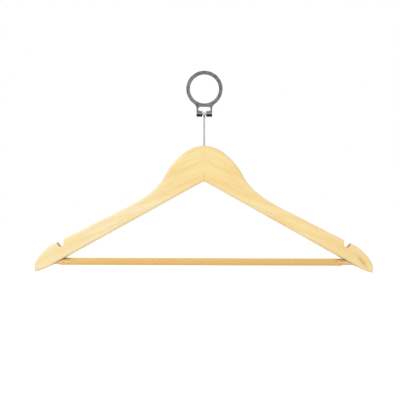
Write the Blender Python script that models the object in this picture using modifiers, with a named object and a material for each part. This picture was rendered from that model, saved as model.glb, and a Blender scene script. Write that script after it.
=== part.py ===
"""Security hanger: a flat wooden coat hanger whose pin hangs in a closed ring.

Standalone Blender 4.5 script, in metres, +Z up, +X to the right, front towards -Y.
The origin is the centre of the ring, where the rail passes along Y.

How the real one is made, and how it is drawn here:
the ring is a flat blank with a keyhole slot, folded twice at its foot into a channel;
the pin is turned, with a domed head that lies in that channel;
the two arms are one rounded outline, parted by a comb joint at the crown;
the bar is a dowel in two blind holes, in a ribbed sleeve, with a brad at each end.
"""

import math

import bmesh
import bpy
from mathutils import Matrix, Vector

MM = 0.001

# Clearances
FIT_GAP = 0.3 * MM  # between pieces that touch, or that glue holds together
HEAD_PLAY = 0.5 * MM  # round the pin's head in the ring's channel
STOP_GAP = 0.5 * MM  # left when the crown is lifted to the ring's foot

# Ring: plate, bore and band
PLATE = 2.0 * MM
PLATE_EDGE = 0.3 * MM  # the rounded edge of the stamping
RING_BORE = 38.2 * MM
RING_BAND = 4.75 * MM
NECK_WIDTH = 20.6 * MM
NECK_FILLET = 8.0 * MM

# Ring: keyhole slot, slit and folded foot
BRIDGE = 4.35 * MM  # metal between the bore and the keyhole
KEYHOLE_SIDE_ROOM = 4.05 * MM  # on each side of the head as it is passed through
KEYHOLE_HEAD_ROOM = 1.65 * MM  # above it
SLIT_ROOM = 1.4 * MM  # on each side of the stem
SLIT_CORNER = 0.8 * MM
HEAD_COVER = 0.1 * MM  # how far the keyhole's lower edge lies above the seated head
TAB_CORNER = 1.0 * MM
BEND_INSIDE = 0.7 * MM
LIP = 1.5 * MM  # straight part of the channel's rear lip

# Pin
PIN_DIAMETER = 2.3 * MM
HEAD_DIAMETER = 8.0 * MM
HEAD_HEIGHT = 4.0 * MM
HEAD_RIM = 1.0 * MM
HEAD_CHAMFER = 0.4 * MM
PIN_EXPOSED = 38.8 * MM  # from the ring's foot to the crown
PIN_BURIED = 30.0 * MM
PIN_POINT = 3.0 * MM
GROOVE_DEPTH = 0.25 * MM
GROOVES = 6  # for the glue, from the start down to the point
GROOVE_START = 8.0 * MM  # first groove below the crown

# Wood: thickness and edges
HANGER_WIDTH = 444.8 * MM
WOOD_THICKNESS = 12.0 * MM
EDGE_ROUND = 3.0 * MM

# Wood: crown and flank, as distances from the crown's top
CROWN_HANDLE = 20.3 * MM
FLANK_X = 51.5 * MM
FLANK_DROP = 40.0 * MM
FLANK_SLOPE = math.radians(62.7)
FLANK_UPPER_HANDLE = 24.5 * MM
FLANK_LOWER_HANDLE = 21.2 * MM
ARM_START_X = 99.5 * MM
ARM_START_HANDLE = 17.2 * MM

# Wood: arms, whose two edges would meet the centre line at these drops
SHOULDER_DROP = 30.7 * MM
SHOULDER_SLOPE = math.radians(26.7)
UNDERSIDE_DROP = 46.3 * MM
UNDERSIDE_SLOPE = math.radians(29.13)
CROTCH_RADIUS = 6.0 * MM

# Wood: tip
END_CURVE_LENGTH = 20.2 * MM
END_ABOVE_TIP = 8.85 * MM  # straight end below that curve, down to the tip's corner
END_UPPER_HANDLE = 3.5 * MM
END_LOWER_HANDLE = 9.4 * MM
TOE_LENGTH = 15.5 * MM
TOE_SLOPE = math.radians(20.0)

# Strap notch
NOTCH_FROM_TIP = 38.0 * MM  # its upright wall
NOTCH_DEPTH = 10.1 * MM
NOTCH_RADIUS = 3.8 * MM
NOTCH_LEAN = math.radians(35.0)

# Comb joint between the arms
FINGERS = 4  # between two plain cheeks as thick as a finger
FINGER_REACH = 5.0 * MM  # past the centre line

# Trouser bar and sleeve
BAR_ENTRY_FROM_TIP = 30.7 * MM  # where the bar's centre meets the arm's underside
BAR_DIAMETER = 7.5 * MM
BAR_INSERT = 14.0 * MM  # past the arm's underside, along the bar's centre
BAR_CHAMFER = 0.8 * MM
SLEEVE_WALL = 0.65 * MM
SLEEVE_UNDER_ARM = 7.8 * MM  # how far its left end is pushed in under the arm's edge
RIBS = 24
RIB_HEIGHT = 0.35 * MM

# Brads, driven from the back
BRAD_DIAMETER = 1.2 * MM
BRAD_LENGTH = 9.0 * MM
BRAD_HEAD_DIAMETER = 2.4 * MM
BRAD_HEAD = 0.6 * MM
BRAD_POINT = 1.2 * MM
BRAD_FROM_BAR_END = 4.9 * MM

# How finely round shapes are cut
ARC_TOLERANCE = 0.03 * MM  # the most that a chord may lie inside its arc
WIDEST_STEP = math.radians(22.5)
CURVE_STEPS = 12
BEND_STEPS = 5
PIN_SIDES = 24
BAR_SIDES = 32
BRAD_SIDES = 16
CUT_PAST = 5.0 * MM  # how far a cutter runs past what it cuts

# What follows from those sizes
BORE_RADIUS = RING_BORE / 2
RING_RADIUS = BORE_RADIUS + RING_BAND
BEND_RADIUS = BEND_INSIDE + PLATE / 2
KEYHOLE_WIDTH = HEAD_DIAMETER + 2 * KEYHOLE_SIDE_ROOM
KEYHOLE_HEIGHT = HEAD_HEIGHT + KEYHOLE_HEAD_ROOM
SLIT_WIDTH = PIN_DIAMETER + 2 * SLIT_ROOM
KEYHOLE_TOP = -BORE_RADIUS - BRIDGE
KEYHOLE_BOTTOM = KEYHOLE_TOP - KEYHOLE_HEIGHT
HEAD_SEAT = KEYHOLE_BOTTOM - HEAD_COVER - HEAD_HEIGHT
SHELF_TOP = HEAD_SEAT - FIT_GAP
BEND_TOP = SHELF_TOP + BEND_INSIDE
FOOT_BOTTOM = SHELF_TOP - PLATE
CHANNEL = HEAD_DIAMETER + 2 * HEAD_PLAY
PIN_Y = PLATE / 2 + CHANNEL / 2
CROWN_Z = FOOT_BOTTOM - PIN_EXPOSED
LIFT = PIN_EXPOSED - STOP_GAP
HALF_WIDTH = HANGER_WIDTH / 2
BAR_ENTRY_X = HALF_WIDTH - BAR_ENTRY_FROM_TIP
BAR_DROP = UNDERSIDE_DROP + BAR_ENTRY_X * math.tan(UNDERSIDE_SLOPE)
BAR_HALF_LENGTH = BAR_ENTRY_X + BAR_INSERT
FINGER_WIDTH = WOOD_THICKNESS / (FINGERS + 2)
SLEEVE_BORE = BAR_DIAMETER / 2 + FIT_GAP
SLEEVE_RADIUS = SLEEVE_BORE + SLEEVE_WALL
GROOVE_PITCH = (PIN_BURIED - PIN_POINT - GROOVE_START) / GROOVES
PIN_HOLE = PIN_DIAMETER / 2 + FIT_GAP
BAR_HOLE = BAR_DIAMETER / 2 + FIT_GAP
BRAD_HOLE = BRAD_DIAMETER / 2 + FIT_GAP


def clear_scene():
    for obj in list(bpy.data.objects):
        bpy.data.objects.remove(obj, do_unlink=True)


def new_collection(name, hidden=False):
    made = bpy.data.collections.new(name)
    bpy.context.scene.collection.children.link(made)
    made.hide_render = hidden
    return made


def new_material(name, colour, roughness, metallic=0.0, alpha=1.0):
    material = bpy.data.materials.new(name)
    material.use_nodes = True
    shader = material.node_tree.nodes["Principled BSDF"]
    shader.inputs["Base Color"].default_value = (*colour, 1.0)
    shader.inputs["Roughness"].default_value = roughness
    shader.inputs["Metallic"].default_value = metallic
    shader.inputs["Alpha"].default_value = alpha
    material.diffuse_color = (*colour, alpha)
    return material


def new_object(name, mesh, collection, parent=None, location=(0.0, 0.0, 0.0)):
    obj = bpy.data.objects.new(name, mesh)
    obj.location = location
    obj.parent = parent
    collection.objects.link(obj)
    return obj


def new_axis(name, collection, parent=None, location=(0.0, 0.0, 0.0)):
    axis = new_object(name, None, collection, parent, location)
    axis.empty_display_type = "SINGLE_ARROW"
    axis.empty_display_size = 0.02
    return axis


def new_cutter(name, mesh, collection, parent=None, location=(0.0, 0.0, 0.0)):
    cutter = new_object(name, mesh, collection, parent, location)
    cutter.hide_render = True
    cutter.display_type = "WIRE"
    return cutter


def cut(obj, cutter, operation="DIFFERENCE"):
    boolean = obj.modifiers.new(cutter.name, "BOOLEAN")
    boolean.object = cutter
    boolean.operation = operation
    boolean.solver = "EXACT"


def shading_tree():
    """Nodes that shade a mesh smooth and keep each edge sharper than 35 degrees crisp."""
    tree = bpy.data.node_groups.new("smooth by angle", "GeometryNodeTree")
    for way in ("INPUT", "OUTPUT"):
        tree.interface.new_socket("Geometry", in_out=way, socket_type="NodeSocketGeometry")
    start = tree.nodes.new("NodeGroupInput")
    end = tree.nodes.new("NodeGroupOutput")
    angle = tree.nodes.new("GeometryNodeInputMeshEdgeAngle")
    gentle = tree.nodes.new("FunctionNodeCompare")
    gentle.operation = "LESS_THAN"
    gentle.inputs["B"].default_value = math.radians(35.0)
    faces = tree.nodes.new("GeometryNodeSetShadeSmooth")
    edges = tree.nodes.new("GeometryNodeSetShadeSmooth")
    edges.domain = "EDGE"
    tree.links.new(start.outputs["Geometry"], faces.inputs["Geometry"])
    tree.links.new(faces.outputs["Geometry"], edges.inputs["Geometry"])
    tree.links.new(angle.outputs["Unsigned Angle"], gentle.inputs["A"])
    tree.links.new(gentle.outputs["Result"], edges.inputs["Shade Smooth"])
    tree.links.new(edges.outputs["Geometry"], end.inputs["Geometry"])
    return tree


def shade(obj, tree):
    """Last on a piece: crisp edges, and flat faces that hold their own normals."""
    by_angle = obj.modifiers.new("smooth by angle", "NODES")
    by_angle.node_group = tree
    weighted = obj.modifiers.new("flat faces", "WEIGHTED_NORMAL")
    weighted.keep_sharp = True


def arc(centre, radius, start, end):
    """Points on an arc from one angle to another, both counted from the first axis."""
    step = min(WIDEST_STEP, 2 * math.acos(1 - ARC_TOLERANCE / radius))
    steps = max(2, math.ceil(abs(end - start) / step))
    turns = [start + (end - start) * i / steps for i in range(steps + 1)]
    return [centre + radius * Vector((math.cos(a), math.sin(a))) for a in turns]


def bezier(start, start_handle, end_handle, end):
    points = []
    for i in range(CURVE_STEPS + 1):
        t = i / CURVE_STEPS
        u = 1 - t
        points.append(
            u**3 * start
            + 3 * u**2 * t * start_handle
            + 3 * u * t**2 * end_handle
            + t**3 * end
        )
    return points


def fillet(before, corner, after, radius):
    """The arc of this radius that rounds a corner between two straight runs."""
    back = (before - corner).normalized()
    ahead = (after - corner).normalized()
    half = back.angle(ahead) / 2
    centre = corner + (back + ahead).normalized() * radius / math.sin(half)
    first = corner + back * radius / math.tan(half) - centre
    last = corner + ahead * radius / math.tan(half) - centre
    start = math.atan2(first.y, first.x)
    sweep = math.atan2(first.x * last.y - first.y * last.x, first.dot(last))
    return arc(centre, radius, start, start + sweep)


def both_sides(half):
    """A closed outline from its right half, whose two ends lie on the centre line."""
    return half + [Vector((-p.x, p.y)) for p in reversed(half[1:-1])]


def flat_mesh(name, loops, thickness=0.0):
    """A filled outline as a mesh in its own XY plane, as thick as asked, centred on it."""
    curve = bpy.data.curves.new(name, "CURVE")
    curve.dimensions = "2D"
    curve.fill_mode = "BOTH"
    curve.extrude = thickness / 2
    for loop in loops:
        spline = curve.splines.new("POLY")
        spline.points.add(len(loop) - 1)
        for point, place in zip(spline.points, loop):
            point.co = (place.x, place.y, 0.0, 1.0)
        spline.use_cyclic_u = True
    drawn = bpy.data.objects.new(name, curve)
    bpy.context.scene.collection.objects.link(drawn)
    graph = bpy.context.evaluated_depsgraph_get()
    mesh = bpy.data.meshes.new_from_object(drawn.evaluated_get(graph))
    bpy.data.objects.remove(drawn)
    bpy.data.curves.remove(curve)

    filled = bmesh.new()
    filled.from_mesh(mesh)
    bmesh.ops.remove_doubles(filled, verts=filled.verts, dist=0.001 * MM)
    bmesh.ops.dissolve_limit(
        filled, angle_limit=math.radians(0.2), verts=filled.verts, edges=filled.edges
    )
    bmesh.ops.recalc_face_normals(filled, faces=filled.faces)
    filled.to_mesh(mesh)
    filled.free()
    mesh.name = name
    return mesh


def profile_mesh(name, profile):
    """An edge chain for a Screw about Z, from (radius, height) points, top to bottom."""
    mesh = bpy.data.meshes.new(name)
    points = [(radius, 0.0, height) for radius, height in profile]
    mesh.from_pydata(points, [(i, i + 1) for i in range(len(points) - 1)], [])
    return mesh


def add_screw(obj, sides):
    screw = obj.modifiers.new("turn", "SCREW")
    screw.axis = "Z"
    screw.steps = sides
    screw.render_steps = sides
    screw.use_merge_vertices = True
    screw.merge_threshold = 0.01 * MM


def cylinder_mesh(name, radius, length, sides, axis):
    """A capped cylinder centred on its own origin, along X, Y or Z."""
    turns = {
        "X": Matrix.Rotation(math.radians(90.0), 4, "Y"),
        "Y": Matrix.Rotation(math.radians(90.0), 4, "X"),
        "Z": Matrix.Identity(4),
    }
    made = bmesh.new()
    bmesh.ops.create_cone(
        made,
        cap_ends=True,
        segments=sides,
        radius1=radius,
        radius2=radius,
        depth=length,
        matrix=turns[axis],
    )
    mesh = bpy.data.meshes.new(name)
    made.to_mesh(mesh)
    made.free()
    return mesh


# The ring: first its flat blank, then the two bends that fold the foot back and up


def blank_outline():
    """Right half of the flat blank, from the top of the ring round to the keyhole's top."""
    neck = NECK_WIDTH / 2
    slit = SLIT_WIDTH / 2
    bend_length = BEND_RADIUS * math.pi / 2
    shelf_length = CHANNEL - 2 * BEND_INSIDE
    blank_end = BEND_TOP - 2 * bend_length - shelf_length - LIP

    fillet_x = neck + NECK_FILLET
    fillet_z = -math.sqrt((RING_RADIUS + NECK_FILLET) ** 2 - fillet_x**2)
    touch = math.atan2(fillet_z, fillet_x)
    centre = Vector((0.0, 0.0))
    points = arc(centre, RING_RADIUS, math.pi / 2, touch)
    flare_centre = Vector((fillet_x, fillet_z))
    points += arc(flare_centre, NECK_FILLET, touch + math.pi, math.pi)[1:]

    end_corner = Vector((neck, blank_end))
    slit_end = Vector((slit, blank_end))
    slit_top = Vector((slit, KEYHOLE_BOTTOM))
    points += fillet(points[-1], end_corner, slit_end, TAB_CORNER)
    points += fillet(end_corner, slit_end, slit_top, TAB_CORNER)
    keyhole_radius = KEYHOLE_HEIGHT / 2
    end_centre = Vector((KEYHOLE_WIDTH / 2 - keyhole_radius, (KEYHOLE_TOP + KEYHOLE_BOTTOM) / 2))
    keyhole_end = arc(end_centre, keyhole_radius, -math.pi / 2, math.pi / 2)
    points += fillet(slit_end, slit_top, keyhole_end[0], SLIT_CORNER)
    points += keyhole_end
    points.append(Vector((0.0, KEYHOLE_TOP)))
    return points


def folded(place):
    """Where a point of the flat blank goes when the foot is folded: back, then up."""
    x, below = place.x, BEND_TOP - place.y
    quarter = BEND_RADIUS * math.pi / 2
    shelf = CHANNEL - 2 * BEND_INSIDE
    if below <= 0:
        return Vector((x, 0.0, place.y))
    if below <= quarter:
        angle = below / BEND_RADIUS
        back = BEND_RADIUS * (1 - math.cos(angle))
        return Vector((x, back, BEND_TOP - BEND_RADIUS * math.sin(angle)))
    if below <= quarter + shelf:
        return Vector((x, BEND_RADIUS + below - quarter, BEND_TOP - BEND_RADIUS))
    angle = min((below - quarter - shelf) / BEND_RADIUS, math.pi / 2)
    rise = BEND_RADIUS * (1 - math.cos(angle))
    lip = max(0.0, below - 2 * quarter - shelf)
    back = BEND_RADIUS + shelf + BEND_RADIUS * math.sin(angle)
    return Vector((x, back, BEND_TOP - BEND_RADIUS + rise + lip))


def make_ring(parts, material):
    bore = arc(Vector((0.0, 0.0)), BORE_RADIUS, 0.0, 2 * math.pi)[:-1]
    mesh = flat_mesh("security_ring", [both_sides(blank_outline()), bore])
    blank = bmesh.new()
    blank.from_mesh(mesh)
    quarter = BEND_RADIUS * math.pi / 2
    second_bend = BEND_TOP - quarter - (CHANNEL - 2 * BEND_INSIDE)
    for bend_start in (BEND_TOP, second_bend):
        for step in range(BEND_STEPS + 1):
            level = bend_start - quarter * step / BEND_STEPS
            bmesh.ops.bisect_plane(
                blank,
                geom=blank.verts[:] + blank.edges[:] + blank.faces[:],
                plane_co=(0.0, level, 0.0),
                plane_no=(0.0, 1.0, 0.0),
            )
    for vert in blank.verts:
        vert.co = folded(vert.co)
    blank.to_mesh(mesh)
    blank.free()
    mesh.materials.append(material)

    ring = new_object("security_ring", mesh, parts)
    wall = ring.modifiers.new("plate", "SOLIDIFY")
    wall.thickness = PLATE
    wall.offset = 0.0
    wall.use_even_offset = True
    edge = ring.modifiers.new("stamped edge", "BEVEL")
    edge.width = PLATE_EDGE
    edge.segments = 2
    edge.limit_method = "ANGLE"
    edge.angle_limit = math.radians(45.0)
    edge.use_clamp_overlap = False
    edge.loop_slide = False
    return ring


# The pin: one turned piece, heights counted from the underside of its head


def pin_profile():
    radius, stem = HEAD_DIAMETER / 2, PIN_DIAMETER / 2
    dome = HEAD_HEIGHT - HEAD_RIM
    sphere = (radius**2 + dome**2) / (2 * dome)
    half_angle = math.asin(radius / sphere)
    steps = 7
    points = []
    for i in range(steps + 1):
        angle = half_angle * i / steps
        points.append((sphere * math.sin(angle), HEAD_HEIGHT - sphere * (1 - math.cos(angle))))
    points.append((radius, HEAD_CHAMFER))
    points.append((radius - HEAD_CHAMFER, 0.0))
    points.append((stem, 0.0))

    crown = CROWN_Z - HEAD_SEAT
    for i in range(GROOVES):
        top = crown - GROOVE_START - i * GROOVE_PITCH
        points.append((stem, top))
        points.append((stem - GROOVE_DEPTH, top - GROOVE_PITCH / 4))
        points.append((stem, top - GROOVE_PITCH / 2))
    points.append((stem, crown - PIN_BURIED + PIN_POINT))
    points.append((0.0, crown - PIN_BURIED))
    return points


def make_pin(parts, material, ring):
    mesh = profile_mesh("swivel_pin", pin_profile())
    mesh.materials.append(material)
    pin = new_object("swivel_pin", mesh, parts, ring, (0.0, PIN_Y, HEAD_SEAT))
    add_screw(pin, PIN_SIDES)
    return pin


# The wood: drawn in X and Z from the crown's top, which is the swivel axis's own origin


def shoulder(x):
    return Vector((x, -SHOULDER_DROP - x * math.tan(SHOULDER_SLOPE)))


def underside(x):
    return Vector((x, -UNDERSIDE_DROP - x * math.tan(UNDERSIDE_SLOPE)))


def downhill(slope):
    return Vector((math.cos(slope), -math.sin(slope)))


def wood_outline():
    crown = Vector((0.0, 0.0))
    flank = Vector((FLANK_X, -FLANK_DROP))
    flank_way = downhill(FLANK_SLOPE)
    shoulder_way = downhill(SHOULDER_SLOPE)
    arm_start = shoulder(ARM_START_X)
    points = bezier(
        crown,
        crown + Vector((CROWN_HANDLE, 0.0)),
        flank - flank_way * FLANK_UPPER_HANDLE,
        flank,
    )
    points += bezier(
        flank,
        flank + flank_way * FLANK_LOWER_HANDLE,
        arm_start - shoulder_way * ARM_START_HANDLE,
        arm_start,
    )[1:]

    toe = underside(HALF_WIDTH - TOE_LENGTH)
    tip = Vector((HALF_WIDTH, toe.y - TOE_LENGTH * math.tan(TOE_SLOPE)))
    end = tip + Vector((0.0, END_ABOVE_TIP))
    end_start = shoulder(HALF_WIDTH - END_CURVE_LENGTH)
    points += bezier(
        end_start,
        end_start + shoulder_way * END_UPPER_HANDLE,
        end + Vector((0.0, END_LOWER_HANDLE)),
        end,
    )
    points += [tip, toe]

    crotch = Vector((0.0, -UNDERSIDE_DROP - CROTCH_RADIUS / math.cos(UNDERSIDE_SLOPE)))
    upright = math.pi / 2
    points += arc(crotch, CROTCH_RADIUS, upright - UNDERSIDE_SLOPE, upright)
    return both_sides(points)


def notch_outline(side):
    """An upright inner wall, a round bottom and an outer wall that leans outwards."""
    wall = HALF_WIDTH - NOTCH_FROM_TIP
    centre = shoulder(wall) + Vector((NOTCH_RADIUS, NOTCH_RADIUS - NOTCH_DEPTH))
    reach = NOTCH_DEPTH + CUT_PAST
    outer = Vector((math.sin(NOTCH_LEAN), math.cos(NOTCH_LEAN)))
    bottom = arc(centre, NOTCH_RADIUS, math.pi, 2 * math.pi - NOTCH_LEAN)
    points = [bottom[0] + Vector((0.0, reach))] + bottom
    points.append(bottom[-1] + outer * reach / outer.y)
    return [Vector((side * p.x, p.y)) for p in points]


def comb_outline(side):
    """One arm's share of the joint seen from above: its side of the comb, in X and Y."""
    half_gap = FIT_GAP / 2
    outside = WOOD_THICKNESS / 2 + CUT_PAST
    reaches = [0.0] + [FINGER_REACH * (-1) ** i for i in range(FINGERS)] + [0.0]
    points = [Vector((side * half_gap, -outside))]
    for i in range(FINGERS + 1):
        before, after = reaches[i], reaches[i + 1]
        y = (i - FINGERS / 2) * FINGER_WIDTH
        y -= side * math.copysign(half_gap, after - before)
        points.append(Vector((before + side * half_gap, y)))
        points.append(Vector((after + side * half_gap, y)))
    points.append(Vector((side * half_gap, outside)))
    far = side * (HALF_WIDTH + CUT_PAST)
    return points + [Vector((far, outside)), Vector((far, -outside))]


def upright_mesh(name, outline, thickness):
    """An outline drawn in X and Z, extruded evenly to both sides along Y."""
    mesh = flat_mesh(name, [outline], thickness)
    mesh.transform(Matrix.Rotation(math.radians(90.0), 4, "X"))
    return mesh


def make_arms(parts, cutters, axis, material):
    wood = upright_mesh("arm_blank", wood_outline(), WOOD_THICKNESS)
    wood.materials.append(material)
    through = WOOD_THICKNESS + 2 * CUT_PAST
    pin_hole_length = PIN_BURIED + FIT_GAP + CUT_PAST
    pin_hole_mesh = cylinder_mesh("pin_hole", PIN_HOLE, pin_hole_length, PIN_SIDES, "Z")
    hole_middle = (0.0, 0.0, CUT_PAST - pin_hole_length / 2)
    pin_hole = new_cutter("pin_hole", pin_hole_mesh, cutters, axis, hole_middle)

    arms = []
    for name, side in (("left", -1), ("right", 1)):
        arm = new_object(f"{name}_arm", wood, parts, axis)
        edge = arm.modifiers.new("rounded edge", "BEVEL")
        edge.width = EDGE_ROUND
        edge.segments = 4
        edge.limit_method = "ANGLE"
        edge.angle_limit = math.radians(60.0)
        edge.use_clamp_overlap = False
        edge.loop_slide = False

        past_the_wood = 2 * (BAR_DROP + HALF_WIDTH)
        comb = flat_mesh(f"{name}_comb", [comb_outline(side)], past_the_wood)
        cut(arm, new_cutter(f"{name}_comb", comb, cutters, axis), "INTERSECT")
        notch = upright_mesh(f"{name}_notch", notch_outline(side), through)
        cut(arm, new_cutter(f"{name}_notch", notch, cutters, axis))
        cut(arm, pin_hole)
        arms.append(arm)
    return arms


# The trouser bar, its sleeve and the brads, drawn in the same coordinates as the wood


def underside_at(drop):
    """How far from the centre line the arm's underside lies at this drop."""
    return (drop - UNDERSIDE_DROP) / math.tan(UNDERSIDE_SLOPE)


def make_bar(parts, cutters, axis, arms, material):
    length = 2 * BAR_HALF_LENGTH
    mesh = cylinder_mesh("trouser_bar", BAR_DIAMETER / 2, length, BAR_SIDES, "X")
    mesh.materials.append(material)
    bar = new_object("trouser_bar", mesh, parts, axis, (0.0, 0.0, -BAR_DROP))
    edge = bar.modifiers.new("chamfer", "BEVEL")
    edge.width = BAR_CHAMFER
    edge.segments = 1
    edge.limit_method = "ANGLE"
    edge.angle_limit = math.radians(60.0)

    hole_length = 2 * BAR_INSERT + 2 * BAR_DIAMETER
    hole = cylinder_mesh("bar_hole", BAR_HOLE, hole_length, BAR_SIDES, "X")
    for arm, side in zip(arms, (-1, 1)):
        middle = side * (BAR_HALF_LENGTH + FIT_GAP - hole_length / 2)
        cutter = new_cutter(f"{arm.name}_bar_hole", hole, cutters, axis, (middle, 0.0, -BAR_DROP))
        cut(arm, cutter)
    return bar


def sleeve_outline():
    """The ribbed outside of the sleeve: round crests with narrow grooves between."""
    root = SLEEVE_RADIUS - RIB_HEIGHT
    points = []
    for i in range(RIBS):
        for share, radius in ((0.0, root), (0.3, SLEEVE_RADIUS), (0.5, SLEEVE_RADIUS), (0.8, root)):
            angle = 2 * math.pi * (i + share) / RIBS
            points.append(Vector((radius * math.cos(angle), radius * math.sin(angle))))
    return points


def make_sleeve(parts, axis, material):
    """Cut square. Pushed in under the left arm, whose underside trims that end's top."""
    gap = FIT_GAP / math.sin(UNDERSIDE_SLOPE)
    right_end = underside_at(BAR_DROP - SLEEVE_RADIUS) - gap
    left_end = -right_end - SLEEVE_UNDER_ARM
    length = right_end - left_end
    middle = (left_end + right_end) / 2

    bore = arc(Vector((0.0, 0.0)), SLEEVE_BORE, 0.0, 2 * math.pi)[:-1]
    mesh = flat_mesh("grip_sleeve", [sleeve_outline(), bore], length)
    mesh.transform(Matrix.Rotation(math.radians(90.0), 4, "Y"))
    for vert in mesh.vertices:
        arm_edge = gap - underside_at(BAR_DROP - vert.co.z)
        vert.co.x = max(vert.co.x, arm_edge - middle)
    mesh.materials.append(material)
    return new_object("grip_sleeve", mesh, parts, axis, (middle, 0.0, -BAR_DROP))


def brad_profile():
    head, stem = BRAD_HEAD_DIAMETER / 2, BRAD_DIAMETER / 2
    return [
        (0.0, 0.0),
        (head, 0.0),
        (stem, -BRAD_HEAD),
        (stem, BRAD_POINT - BRAD_LENGTH),
        (0.0, -BRAD_LENGTH),
    ]


def brad_hole_profile():
    """The brad's own shape with the gap round it, open above the arm's back face."""
    head = BRAD_HEAD_DIAMETER / 2 + FIT_GAP
    return [
        (0.0, CUT_PAST),
        (head, CUT_PAST),
        (head, -FIT_GAP),
        (BRAD_HOLE, -BRAD_HEAD - FIT_GAP),
        (BRAD_HOLE, -BRAD_LENGTH - FIT_GAP),
        (0.0, -BRAD_LENGTH - FIT_GAP),
    ]


def make_brads(parts, cutters, axis, bar, arms, material):
    along = BAR_HALF_LENGTH - BRAD_FROM_BAR_END
    from_back = Matrix.Rotation(math.radians(-90.0), 4, "X")
    for arm, side in zip(arms, (-1, 1)):
        place = (side * along, WOOD_THICKNESS / 2, -BAR_DROP)
        name = f"{arm.name.split('_')[0]}_bar_brad"
        mesh = profile_mesh(name, brad_profile())
        mesh.materials.append(material)
        brad = new_object(name, mesh, parts, axis, place)
        brad.rotation_euler = from_back.to_euler()
        add_screw(brad, BRAD_SIDES)
        hole_mesh = profile_mesh(f"{name}_hole", brad_hole_profile())
        hole = new_cutter(f"{name}_hole", hole_mesh, cutters, axis, place)
        hole.rotation_euler = from_back.to_euler()
        add_screw(hole, BRAD_SIDES)
        cut(arm, hole)
        cut(bar, hole)


def main():
    clear_scene()
    parts = new_collection("security_hanger")
    cutters = new_collection("cutters", hidden=True)
    ring_steel = new_material("ring_steel", (0.19, 0.19, 0.19), 0.35, 1.0)
    pin_nickel = new_material("pin_nickel", (0.72, 0.71, 0.69), 0.22, 1.0)
    lacquered_wood = new_material("lacquered_wood", (0.90, 0.70, 0.38), 0.45)
    dowel_wood = new_material("dowel_wood", (0.93, 0.72, 0.44), 0.55)
    clear_vinyl = new_material("clear_vinyl", (0.86, 0.52, 0.19), 0.25, alpha=0.6)

    ring = make_ring(parts, ring_steel)
    pin = make_pin(parts, pin_nickel, ring)
    axis = new_axis("swivel_axis", parts, pin, (0.0, 0.0, CROWN_Z - HEAD_SEAT))
    arms = make_arms(parts, cutters, axis, lacquered_wood)
    bar = make_bar(parts, cutters, axis, arms, dowel_wood)
    make_sleeve(parts, axis, clear_vinyl)
    make_brads(parts, cutters, axis, bar, arms, pin_nickel)
    tree = shading_tree()
    for piece in parts.objects:
        if piece.type == "MESH":
            shade(piece, tree)

    print(f"crown's top at {CROWN_Z / MM:.1f} mm, pin axis at y {PIN_Y / MM:.1f} mm")
    print(f"the pin lifts {LIFT / MM:.1f} mm before the crown meets the ring's foot")


main()
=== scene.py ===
# %% [markdown]
# # A security hanger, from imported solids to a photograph
# This is a flat wooden coat hanger of the kind that hotels use. A turned pin hangs in a closed
# ring by its head, so the hanger can't be carried off and hung on another rail.
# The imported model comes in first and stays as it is. It has the right sizes but flat colours, so
# each piece that shows is made again round it, finer, and gets the finish of the real one.

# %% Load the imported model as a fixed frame
import math
from contextlib import contextmanager

import bmesh
import bpy
from mathutils import Matrix, Vector
from mathutils.geometry import interpolate_bezier


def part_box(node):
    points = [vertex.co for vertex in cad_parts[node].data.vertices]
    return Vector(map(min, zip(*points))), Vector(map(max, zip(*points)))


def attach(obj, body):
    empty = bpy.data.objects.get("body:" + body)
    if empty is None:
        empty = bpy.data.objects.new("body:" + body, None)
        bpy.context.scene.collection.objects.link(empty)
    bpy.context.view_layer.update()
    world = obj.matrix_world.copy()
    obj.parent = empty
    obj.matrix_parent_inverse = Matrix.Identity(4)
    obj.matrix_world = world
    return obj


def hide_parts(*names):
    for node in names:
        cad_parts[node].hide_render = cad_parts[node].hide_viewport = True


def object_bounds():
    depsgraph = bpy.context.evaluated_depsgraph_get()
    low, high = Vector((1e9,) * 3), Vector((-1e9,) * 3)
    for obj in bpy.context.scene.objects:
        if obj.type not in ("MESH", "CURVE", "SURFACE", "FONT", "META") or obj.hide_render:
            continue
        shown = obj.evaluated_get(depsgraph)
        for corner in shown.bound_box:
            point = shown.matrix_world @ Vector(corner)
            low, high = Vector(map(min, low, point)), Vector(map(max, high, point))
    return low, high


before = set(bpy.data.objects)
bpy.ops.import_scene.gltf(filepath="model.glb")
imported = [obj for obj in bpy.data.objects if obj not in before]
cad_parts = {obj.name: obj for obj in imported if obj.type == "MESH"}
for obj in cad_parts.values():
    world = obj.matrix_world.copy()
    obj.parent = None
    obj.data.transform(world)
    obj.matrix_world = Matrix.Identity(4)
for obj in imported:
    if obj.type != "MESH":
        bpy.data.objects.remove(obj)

MM = 0.001
CAD_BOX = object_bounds()
print("packed nodes:", ", ".join(sorted(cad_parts)))


# %% [markdown]
# ## Sizes
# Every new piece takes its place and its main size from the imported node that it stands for, so
# nothing has to be fitted by eye. Only what a box can't tell, such as a slope, is written here.

# %% Read the sizes that the frame gives
def span(node):
    low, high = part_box(node)
    return high - low


def middle(node):
    low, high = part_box(node)
    return (low + high) / 2


ring_low, ring_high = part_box("security_ring")
pin_low, pin_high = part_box("swivel_pin")
arm_low, arm_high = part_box("right_arm")
PIN_Y = middle("swivel_pin").y
FRONT_Y = arm_low.y
CROWN_Z = arm_high.z
HALF_WIDTH = arm_high.x
WOOD_THICKNESS = span("right_arm").y
BAR_Z = middle("trouser_bar").z
BAR_RADIUS = span("trouser_bar").z / 2
BAR_HALF_LENGTH = span("trouser_bar").x / 2
print(f"hanger {2 * HALF_WIDTH / MM:.1f} mm wide, {WOOD_THICKNESS / MM:.1f} mm thick")
print(f"pin axis at y {PIN_Y / MM:.1f} mm, crown at z {CROWN_Z / MM:.1f} mm")

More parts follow.
